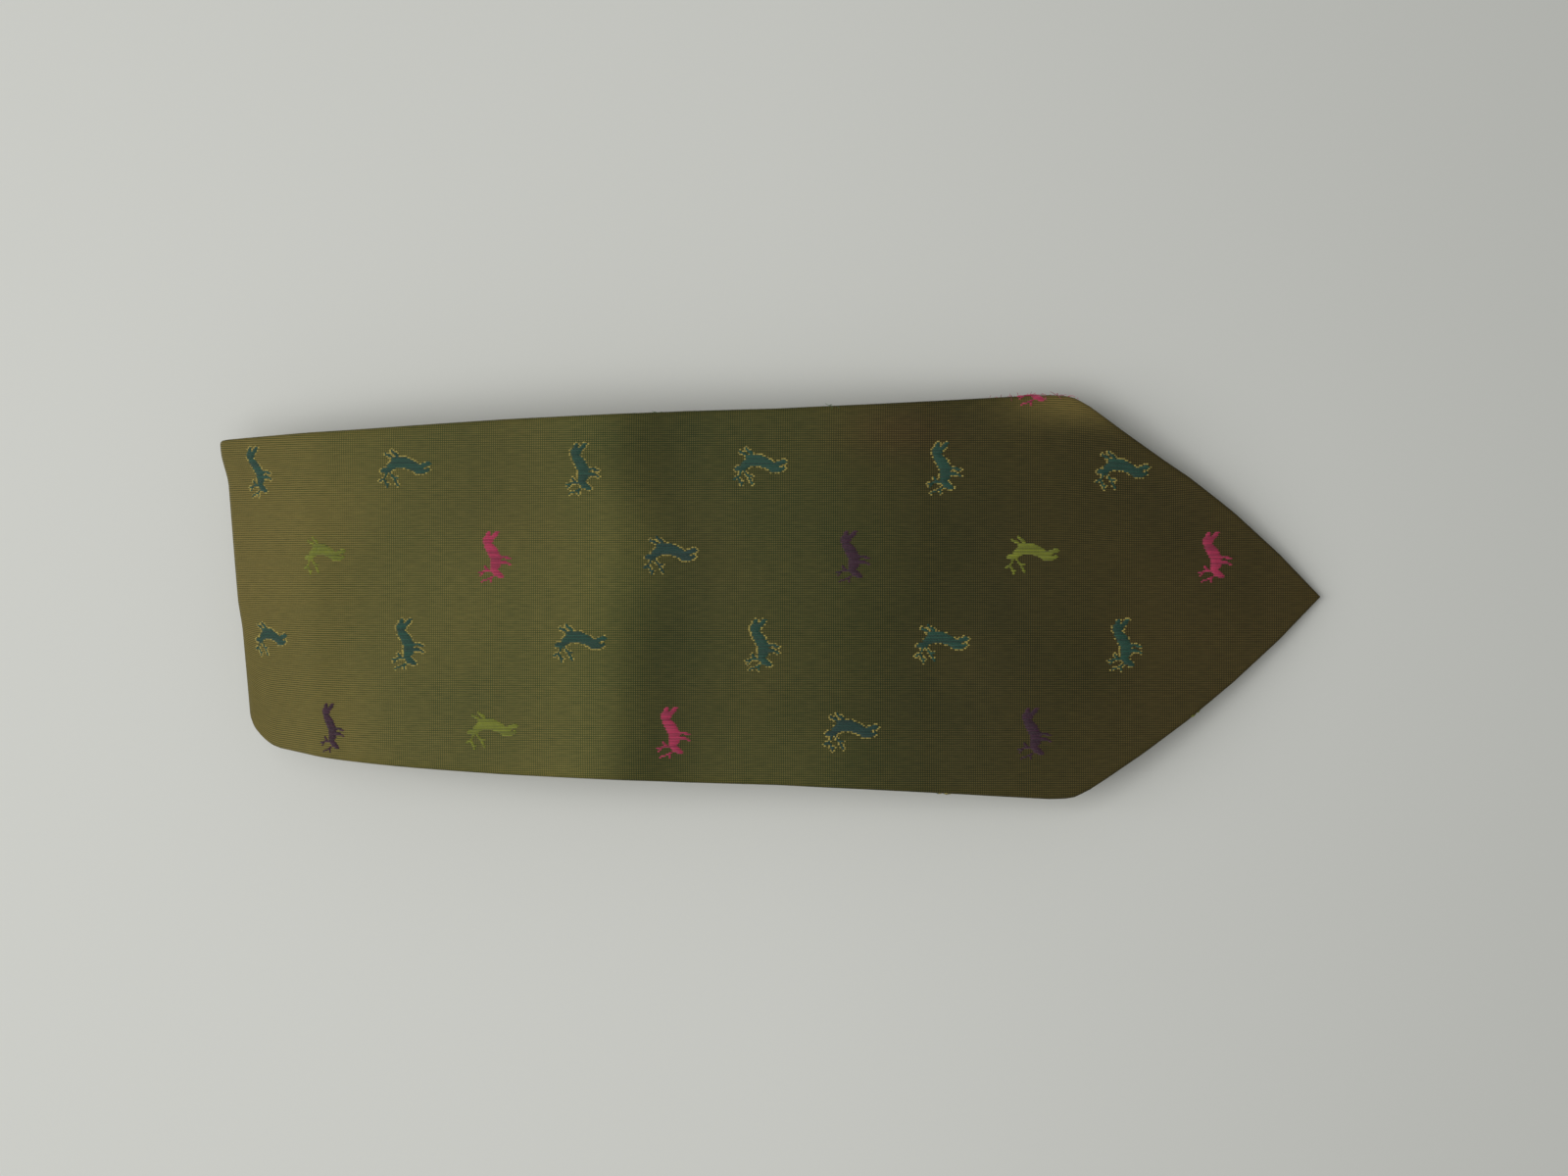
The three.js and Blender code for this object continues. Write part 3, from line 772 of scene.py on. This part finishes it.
def threads(name, lines, colours, radius, sides=5):
    """One plain mesh of threads along the given lines, each in its colour."""
    counts = [len(line) for line in lines]
    points = np.concatenate(lines) * MM
    starts = np.cumsum([0, *counts[:-1]])
    edges = [(s + i, s + i + 1) for s, n in zip(starts, counts) for i in range(n - 1)]
    mesh = bpy.data.meshes.new(name)
    mesh.from_pydata(points.tolist(), edges, [])
    own = mesh.attributes.new("thread_colour", "FLOAT_COLOR", "POINT")
    flat = np.repeat(np.array([(*c, 1.0) for c in colours]), counts, axis=0)
    own.data.foreach_set("color", flat.astype(np.float32).ravel())
    source = bpy.data.objects.new(name, mesh)
    bpy.context.scene.collection.objects.link(source)
    modifier = source.modifiers.new("threads", "NODES")
    modifier.node_group = THREADS
    given = [item for item in THREADS.interface.items_tree if item.in_out == "INPUT"]
    sockets = {item.name: item.identifier for item in given}
    modifier[sockets["Thread radius"]] = radius * MM
    modifier[sockets["Sides"]] = sides
    modifier[sockets["Yarn"]] = YARN
    graph = bpy.context.evaluated_depsgraph_get()
    made = bpy.data.meshes.new_from_object(source.evaluated_get(graph))
    source.modifiers.remove(modifier)
    source.data = made
    bpy.data.meshes.remove(mesh)
    made.name = name
    return source


# ---- Woven stags ----

CELL = 0.34
BODY_STROKES = 4  # of each stag, the strokes for body, hind legs and neck; then come forelegs and antlers
STAG_LEAPING = (
    (((-3.2, 0.6), (-1.8, 1.5), (0.2, 1.5), (2.0, 0.7), (3.2, -0.3)), (1.5, 2.1, 2.0, 1.9, 1.2)),
    (((3.0, -0.1), (4.2, 0.9), (5.6, 1.2)), (1.1, 0.8, 0.5)),
    (((2.8, -0.4), (4.0, -0.6), (5.3, -0.2)), (1.0, 0.7, 0.5)),
    (((-2.8, 0.9), (-3.7, -0.1), (-4.9, -0.3)), (1.4, 1.2, 0.7)),
    (((-2.2, 1.5), (-3.0, 2.9), (-4.3, 3.4)), (0.7, 0.5, 0.4)),
    (((-1.2, 1.7), (-1.8, 3.2), (-3.0, 4.2)), (0.7, 0.5, 0.4)),
    (((-3.9, -0.4), (-4.6, -2.1), (-3.9, -3.9)), (0.4, 0.36, 0.3)),
    (((-3.6, -0.4), (-2.4, -1.8), (-1.5, -3.7)), (0.4, 0.36, 0.3)),
    (((-4.6, -2.1), (-5.7, -2.6)), (0.34, 0.3)),
    (((-2.4, -1.8), (-1.2, -1.7)), (0.34, 0.3)),
    (((-4.4, -3.0), (-3.4, -3.2)), (0.34, 0.3)),
)
STAG_RISING = (
    (((-1.0, 2.6), (0.0, 1.3), (0.8, -0.2), (0.9, -1.8), (0.3, -2.9)), (1.4, 2.0, 2.0, 1.8, 1.2)),
    (((-0.8, 2.5), (-0.1, 3.9), (1.2, 5.2)), (1.1, 0.8, 0.5)),
    (((-1.2, 2.4), (-1.4, 3.8), (-0.6, 5.1)), (1.0, 0.7, 0.5)),
    (((0.4, -2.4), (1.0, -3.6), (2.2, -4.4)), (1.4, 1.2, 0.7)),
    (((1.1, -1.6), (2.8, -1.2), (4.3, -1.9)), (0.7, 0.5, 0.4)),
    (((1.0, -0.6), (2.6, -0.1), (4.1, -0.5)), (0.7, 0.5, 0.4)),
    (((0.8, -3.6), (-0.9, -3.1), (-2.9, -3.6)), (0.4, 0.36, 0.3)),
    (((1.0, -4.0), (-0.4, -4.9), (-2.2, -5.5)), (0.4, 0.36, 0.3)),
    (((-0.9, -3.1), (-1.7, -2.2)), (0.34, 0.3)),
    (((-0.4, -4.9), (0.0, -5.9)), (0.34, 0.3)),
    (((-1.9, -3.3), (-2.6, -4.3)), (0.34, 0.3)),
)
TEAL, DARK_TEAL, CREAM = (0.010, 0.064, 0.040), (0.008, 0.048, 0.036), (0.42, 0.33, 0.075)
MAGENTA, PURPLE, LIME = (0.40, 0.026, 0.085), (0.042, 0.009, 0.026), (0.185, 0.205, 0.014)
COLOUR_CYCLE = ((MAGENTA, STAG_RISING), (LIME, STAG_LEAPING),
                (PURPLE, STAG_RISING), (DARK_TEAL, STAG_LEAPING))
COLUMN_PITCH, ROW_PITCH, FIRST_ROW, FIRST_COLUMN = 39.38, 19.18, 28.09, 25.03
EASED_FROM, EASED_SHARE = 215, 0.84


def settled(behind):
    """The cloth is eased together a little where it comes to the top fold."""
    return np.where(behind > EASED_FROM, EASED_FROM + (behind - EASED_FROM) * EASED_SHARE, behind)


def stag_cells(strokes):
    """Which cells of the weave the stag's own yarn covers, and those that outline it."""
    size = 40
    axis = (np.arange(size) - size / 2 + 0.5) * CELL
    x, y = np.meshgrid(axis, axis, indexing="ij")
    inside = np.zeros((size, size), bool)
    for number, (points, widths) in enumerate(strokes):
        spread = 0.16 if number < BODY_STROKES else 0.02
        for (a, b), (wa, wb) in zip(zip(points, points[1:]), zip(widths, widths[1:])):
            dx, dy = b[0] - a[0], b[1] - a[1]
            t = np.clip(((x - a[0]) * dx + (y - a[1]) * dy) / (dx * dx + dy * dy), 0, 1)
            gap = np.hypot(x - a[0] - t * dx, y - a[1] - t * dy)
            inside |= gap < (wa + (wb - wa) * t) / 2 + spread
    around = np.zeros_like(inside)
    for dx, dy in ((1, 0), (-1, 0), (0, 1), (0, -1)):
        around |= np.roll(inside, (dx, dy), (0, 1))
    return axis, inside, around & ~inside


STAG_CELLS = {id(strokes): stag_cells(strokes) for strokes in (STAG_LEAPING, STAG_RISING)}


def runs_of(row):
    """First and last cell of each stretch of cells in a row."""
    edges = np.flatnonzero(np.diff(np.concatenate([[0], row.astype(int), [0]])))
    return list(zip(edges[::2], edges[1::2] - 1))


def stag_threads(strokes, own, outlined, rng):
    """The floats of one stag, as lines of (along, across, lift) with their colours."""
    axis, inside, outline = STAG_CELLS[id(strokes)]
    lines, colours = [], []
    for j in range(len(axis)):
        for a, b in runs_of(inside[:, j]):
            ends = axis[a] - CELL * 0.55, axis[b] + CELL * 0.55
            inner = np.linspace(*ends, max(3, int((b - a + 1) * CELL / 0.9) + 3))
            lift = np.full(len(inner), 0.07) + rng.uniform(-0.02, 0.03)
            lift[[0, -1]] = -0.13
            lines.append(np.stack([inner, np.full(len(inner), axis[j]), lift], -1))
            colours.append(np.array(own) * rng.uniform(0.75, 1.3))
        if outlined:
            for i in np.flatnonzero(outline[:, j] & (rng.random(len(axis)) < 0.6)):
                at = axis[i] + rng.uniform(-0.06, 0.06)
                reach = CELL * rng.uniform(0.3, 0.5)
                lift = [-0.09, 0.03, -0.09]
                lines.append(np.array([[at - reach, axis[j], lift[0]], [at, axis[j], lift[1]],
                                       [at + reach, axis[j], lift[2]]]))
                colours.append(np.array(CREAM) * rng.uniform(0.6, 1.15))
    return lines, colours


def all_stags():
    """Every stag on the cloth, sorted by the piece of cloth that each thread lies on."""
    rng = np.random.default_rng(7)
    by_piece = {i: ([], []) for i in range(len(HINGES))}
    columns = int(LENGTH / COLUMN_PITCH) + 1
    for row in range(-3, 9):
        across = FIRST_ROW - ROW_PITCH * (row - 1)
        for k in range(columns + 1):
            if row % 2:
                behind = FIRST_COLUMN + COLUMN_PITCH * (k + 0.5)
                outlined, own = True, TEAL
                strokes = STAG_LEAPING if (k + (row - 1) // 2) % 2 == 0 else STAG_RISING
            else:
                behind = FIRST_COLUMN + COLUMN_PITCH * k
                own, strokes = COLOUR_CYCLE[(k + row // 2 - 1) % 4]
                outlined = own is DARK_TEAL
            if not 8 < behind < LENGTH + 160:
                continue
            u0 = LENGTH - settled(behind)
            if u0 < 3 or abs(across) > reach_round(np.array(u0)) + 6:
                continue
            lines, colours = stag_threads(strokes, own, outlined, rng)
            counts = [len(line) for line in lines]
            u, c, lift = np.concatenate(lines).T
            u, c = LENGTH - settled(behind - u), c + across
            points = cloth_point(u, c, lift)
            kept = (u > 3) & (u < LENGTH - 3) & (np.abs(c) < reach_round(u) - 0.4)
            stops = np.cumsum(counts)
            for start, stop, paint in zip(stops - counts, stops, colours):
                if kept[start:stop].all():
                    index = piece_at(u[start:stop].mean())
                    by_piece[index][0].append(points[start:stop])
                    by_piece[index][1].append(paint)
    return by_piece


def sewn(piece, *nodes):
    if nodes:
        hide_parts(*nodes)
    return piece


# ---- Make the cloth ----

for index in range(len(HINGES)):
    interlining_piece(index)
    shell_piece(index)

for index, (lines, colours) in all_stags().items():
    if lines:
        sewn(bend_with(threads(f"woven_stags_{JOINTS[index]['name']}", lines, colours, 0.19, 4), index))

# ---- Loose fibres ----

def fibres(name, places, index, seed, radius=0.045):
    """Loose fibres that stand off the cloth: places, spread, count, length and colour of each tuft."""
    rng = np.random.default_rng(seed)
    lines, colours = [], []
    for behind, across, spread, count, length, paint in places:
        for _ in range(count):
            u = LENGTH - behind + rng.normal(0, spread)
            c = across + rng.normal(0, 0.5)
            way, curl = rng.uniform(0, 2 * pi), rng.uniform(-2.5, 2.5)
            steps = np.linspace(0, 1, 7)
            a = way + curl * steps
            own = length * rng.uniform(0.4, 1.2)
            du, dc = np.cumsum(np.cos(a)) * own / 7, np.cumsum(np.sin(a)) * own / 7
            lift = 0.05 + steps * rng.uniform(0.1, 0.9) * own * 0.5
            lines.append(cloth_point(u + du, c + dc, lift))
            colours.append(np.array(paint) * rng.uniform(0.7, 1.5))
    return sewn(bend_with(threads(name, lines, colours, radius, 4), index))


PINK, LEAF_GREEN = (0.50, 0.07, 0.15), (0.06, 0.13, 0.03)
fibres("loose_fibres_blade_edge", [(66, 45.4, 3.6, 46, 2.6, PINK), (59, 45.2, 3.0, 24, 2.2, PINK),
                                   (72, 45.4, 1.2, 8, 3.2, PINK)], piece_at(LENGTH - 66), 3)
fibres("loose_fibres_middle_edge", [(146, 41.0, 0.6, 5, 1.3, LEAF_GREEN),
                                    (108, 41.8, 0.9, 7, 1.5, LEAF_GREEN)], piece_at(LENGTH - 130), 5)
fibres("loose_fibres_top_fold", [(252, 9.0, 1.0, 8, 1.7, PURPLE), (252, 7.5, 1.0, 6, 1.5, PURPLE),
                                 (252, -25, 1.5, 8, 1.5, TEAL)], piece_at(LENGTH - 251), 8)

# ---- Sewing on the back ----

SEWING = (0.115, 0.105, 0.045)


def slip_stitches():
    """The back seam's slip stitches, which cross from one turned-in edge to the other."""
    by_piece = {}
    for u in np.arange(TAIL_TACK + 9, LENGTH - BLADE_TACK - 6, 9.0):
        line = [(u, -1.1, 0.02), (u + 0.5, -0.5, 0.14), (u + 1.3, 0.0, 0.2),
                (u + 2.1, 0.5, 0.14), (u + 2.6, 1.1, 0.02)]
        own, v, out = np.array(line).T
        index = piece_at(u + 1.3)
        if CUTS[index] < u and u + 2.6 < CUTS[index + 1]:
            _, pinch = turned_fold(own)
            by_piece.setdefault(index, []).append(place(own, v, -(HALF_THICK - pinch + out)))
    for index, lines in by_piece.items():
        name = f"slip_stitches_{JOINTS[index]['name']}"
        sewn(bend_with(threads(name, lines, [SEWING] * len(lines), 0.13), index))


def bar_tack(name, at, body, width=1.5, reach=3.2):
    """A bar of close stitches that holds the foot of the V."""
    lines = []
    for u in np.arange(at, at + width, 0.27):
        v = np.linspace(-reach, reach, 7)
        out = 0.1 + 0.22 * (1 - (v / reach) ** 4)
        out[[0, -1]] = -0.1
        lines.append(place(u, v, -(HALF_THICK + out)))
    for side in (-1, 1):
        u = np.linspace(at - 0.25, at + width + 0.1, 5)
        lines.append(place(u, side * (reach - 0.5), -(HALF_THICK + 0.4)))
    piece = sewn(threads(name, lines, [SEWING] * len(lines), 0.15), name)
    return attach(piece, body)


slip_stitches()
bar_tack("tail_bar_tack", TAIL_TACK, "leaf_10")
bar_tack("blade_bar_tack", LENGTH - BLADE_TACK - 1.5, "blade_middle")


def tipping_piece(name, rows, nodes):
    half_at = lambda u: float(min(half_opening(u) + 2.3, half_width(u) - 2.4))
    obj = slab_piece(name, rows, half_at, -0.50, -0.30, TIPPING, 21)
    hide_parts(*nodes)
    2 * max(half_at(u) for u in rows) * MM
    strip_area(rows, half_at) * MM * MM
    return obj


tail_rows = np.linspace(11, TAIL_TACK - 2, 16)
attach(tipping_piece("tail_tipping_satin", tail_rows, ["tail_tipping"]), "leaf_10")
blade_rows = np.linspace(LENGTH - BLADE_TACK + 2, LENGTH - 17, 64)
last = len(HINGES) - 1
blade_nodes = ["blade_tipping_root", "blade_tipping_point"]
bend_with(tipping_piece("blade_tipping_satin", blade_rows, blade_nodes), last)


def back_patch(name, start, stop, low_v, high_v, thick, material, node, index):
    """A label: a thin woven piece on the back, a little proud of it in the middle."""
    rows, columns = np.linspace(start, stop, 15), np.linspace(low_v, high_v, 17)
    u, v = np.meshgrid(rows, columns, indexing="ij")
    across = (v - v.mean()) / np.ptp(columns) * 2
    swell = 0.18 * np.sin(pi * (u - start) / (stop - start)) * (1 - across**2)
    outer = HALF_THICK + LABEL_CLEAR + thick + swell
    inner = outer - thick
    points = np.concatenate([place(u, v, -outer).reshape(-1, 3), place(u, v, -inner).reshape(-1, 3)])
    n, m = u.shape
    count = n * m
    faces = grid_faces(n, m) + [tuple(count + i for i in reversed(f)) for f in grid_faces(n, m)]
    rim = (list(range(m)) + [i * m + m - 1 for i in range(1, n)]
           + [(n - 1) * m + j for j in range(m - 2, -1, -1)] + [i * m for i in range(n - 2, 0, -1)])
    faces += [(b, a, count + a, count + b) for a, b in zip(rim, rim[1:] + rim[:1])]
    obj = new_object(name, points, faces, material, smooth_faces=False)
    set_uv(obj, np.tile(v.ravel(), 2), np.tile(u.ravel(), 2))
    bend_with(obj, index)
    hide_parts(node)
    return obj


LABEL_CLEAR = 0.06
KEEPER_FROM, KEEPER_WIDE, KEEPER_REACH = LENGTH - 215, 12, 24
MAKER_FROM, MAKER_LONG, MAKER_REACH = LENGTH - 188, 22, 20
CARE_FROM, CARE_LONG = LENGTH - 200, 7
MAKER_HINGE = next(i for i, h in enumerate(HINGES) if h[0] == "blade_middle_bend")
KEEPER_HINGE = next(i for i, h in enumerate(HINGES) if h[0] == "leaf_1_bend")
back_patch("maker_label_blank", MAKER_FROM, MAKER_FROM + MAKER_LONG, -MAKER_REACH, MAKER_REACH, 0.25, LABEL,
           "maker_label", MAKER_HINGE)
back_patch("care_label_blank", CARE_FROM, CARE_FROM + CARE_LONG, 3, 21, 0.22, CARE, "care_label",
           KEEPER_HINGE)


def label_stitches():
    lines = []
    for v_edge in (-MAKER_REACH + 1.1, MAKER_REACH - 1.1):
        for u in np.arange(MAKER_FROM + 1, MAKER_FROM + MAKER_LONG - 2, 2.2):
            own = np.linspace(u, u + 1.5, 5)
            lines.append(place(own, v_edge, -(HALF_THICK + 0.34 + 0.14 * np.sin(np.linspace(0, pi, 5)))))
    return lines


LABEL_SEWING = (0.30, 0.27, 0.20)
lines = label_stitches()
sewn(bend_with(threads("maker_label_stitches", lines, [LABEL_SEWING] * len(lines), 0.13), MAKER_HINGE))


def keeper():
    """The keeper loop: a folded strap of the shell cloth across the back, sewn down at both ends."""
    across = np.concatenate([np.linspace(-KEEPER_REACH, -KEEPER_REACH + 6, 7),
                             np.linspace(-KEEPER_REACH + 7, KEEPER_REACH - 7, 25),
                             np.linspace(KEEPER_REACH - 6, KEEPER_REACH, 7)])
    clear = 0.85 * smooth((KEEPER_REACH - np.abs(across) - 3.4) / 5)
    around = 20
    angles = np.linspace(0, 2 * pi, around, endpoint=False)
    half_wide, half_thick = KEEPER_WIDE / 2, 0.34
    points, uv_v, uv_u = [], [], []
    centre = KEEPER_FROM + half_wide
    for v, gap in zip(across, clear):
        ring_u = centre + half_wide * np.sign(np.cos(angles)) * np.abs(np.cos(angles)) ** 0.35
        ring_h = -(HALF_THICK + 0.44 + gap) + half_thick * np.sin(angles)
        points.append(place(ring_u, v, ring_h))
        uv_v.append(np.full(around, v))
        uv_u.append(ring_u)
    faces = capped(grid_faces(len(across), around, ring=True), len(across), around)
    obj = new_object("keeper_loop_strap", np.concatenate(points), faces, SHOT)
    u, v = np.concatenate(uv_u), np.concatenate(uv_v)
    set_uv(obj, u, v)
    for name, value in (("tone", 0.5), ("depth", 1.0), ("red", 0.1)):
        set_attribute(obj, name, np.full(len(u), value))
    bend_with(obj, KEEPER_HINGE)
    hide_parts("keeper_loop")
    lines = []
    for side in (-1, 1):
        for step in np.arange(-5, 5.1, 1.25):
            own = centre + np.array([0, 0.25, 0.5, 0.75]) + step
            v = side * (KEEPER_REACH - 2 + np.array([0, 0.25, 0.5, 0.75]) * 0.4)
            lines.append(place(own, v, -(HALF_THICK + 0.82 + 0.1 * np.sin(np.linspace(0, pi, 4)))))
    sewn(bend_with(threads("keeper_stitches", lines, [SEWING] * len(lines), 0.13), KEEPER_HINGE))


keeper()


def thread_loop():
    """The end of the sewing thread, a slack loop on the tail's back."""
    route = np.array([(0, 0), (0.25, 0.5), (0.6, 0.95), (0.9, 0.8), (1, 0.45), (0.85, 0.15), (0.6, 0.08)])
    t = np.linspace(0, len(route) - 1, 60)
    knots = np.arange(len(route))
    shifts = np.linspace(-0.5, 0.5, 5)
    a, b = (sum(np.interp(t + d, knots, route[:, k]) for d in shifts) / 5 for k in (0, 1))
    line = place(68 + a * 16, b * 7, -(HALF_THICK + 0.32))
    piece = sewn(threads("slip_thread_loop_end", [line], [SEWING], 0.2, 8), "slip_thread_loop")
    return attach(piece, "leaf_10")


thread_loop()

# ---- Table, light and camera ----

def quad(name, half, z, material):
    corners = [(-half, -half, z), (half, -half, z), (half, half, z), (-half, half, z)]
    return new_object(name, corners, [(0, 1, 2, 3)], material, smooth_faces=False)


quad("table_top", 3000, -0.15, TABLE)


def soft_light(name, position, aim, size, power, tint=(1, 1, 1)):
    data = bpy.data.lights.new(name, "AREA")
    data.shape, data.size, data.size_y = "RECTANGLE", size[0] * MM, size[1] * MM
    data.energy, data.color = power, tint
    light = bpy.data.objects.new(name, data)
    light.location = Vector(position) * MM
    light.rotation_mode = "QUATERNION"
    light.rotation_quaternion = (Vector(aim) - Vector(position)).to_track_quat("-Z", "Y")
    bpy.context.scene.collection.objects.link(light)


soft_light("window", (-1000, -60, 800), (0, 0, 0), (700, 1100), 6.0, (1.0, 0.995, 0.97))
soft_light("ceiling", (-120, -50, 870), (-60, -20, 0), (750, 700), 3.2, (1.0, 0.995, 0.98))

world = bpy.data.worlds.new("room")
bpy.context.scene.world = world
world.use_nodes = True
world.node_tree.nodes["Background"].inputs["Color"].default_value = (0.985, 1.0, 0.985, 1)
world.node_tree.nodes["Background"].inputs["Strength"].default_value = 0.24

CAMERA_TILT = 0.1454
camera_data = bpy.data.cameras.new("camera")
camera_data.sensor_width, camera_data.lens = 36, 61.19
camera_data.clip_start, camera_data.clip_end = 0.02, 20
camera = bpy.data.objects.new("camera", camera_data)
camera.location = Vector((90.2, 1.93, 593.7)) * MM
camera.rotation_euler = (0, CAMERA_TILT, 0)
bpy.context.scene.collection.objects.link(camera)
bpy.context.scene.camera = camera
bpy.context.scene.view_settings.view_transform = "Standard"

bpy.context.view_layer.update()
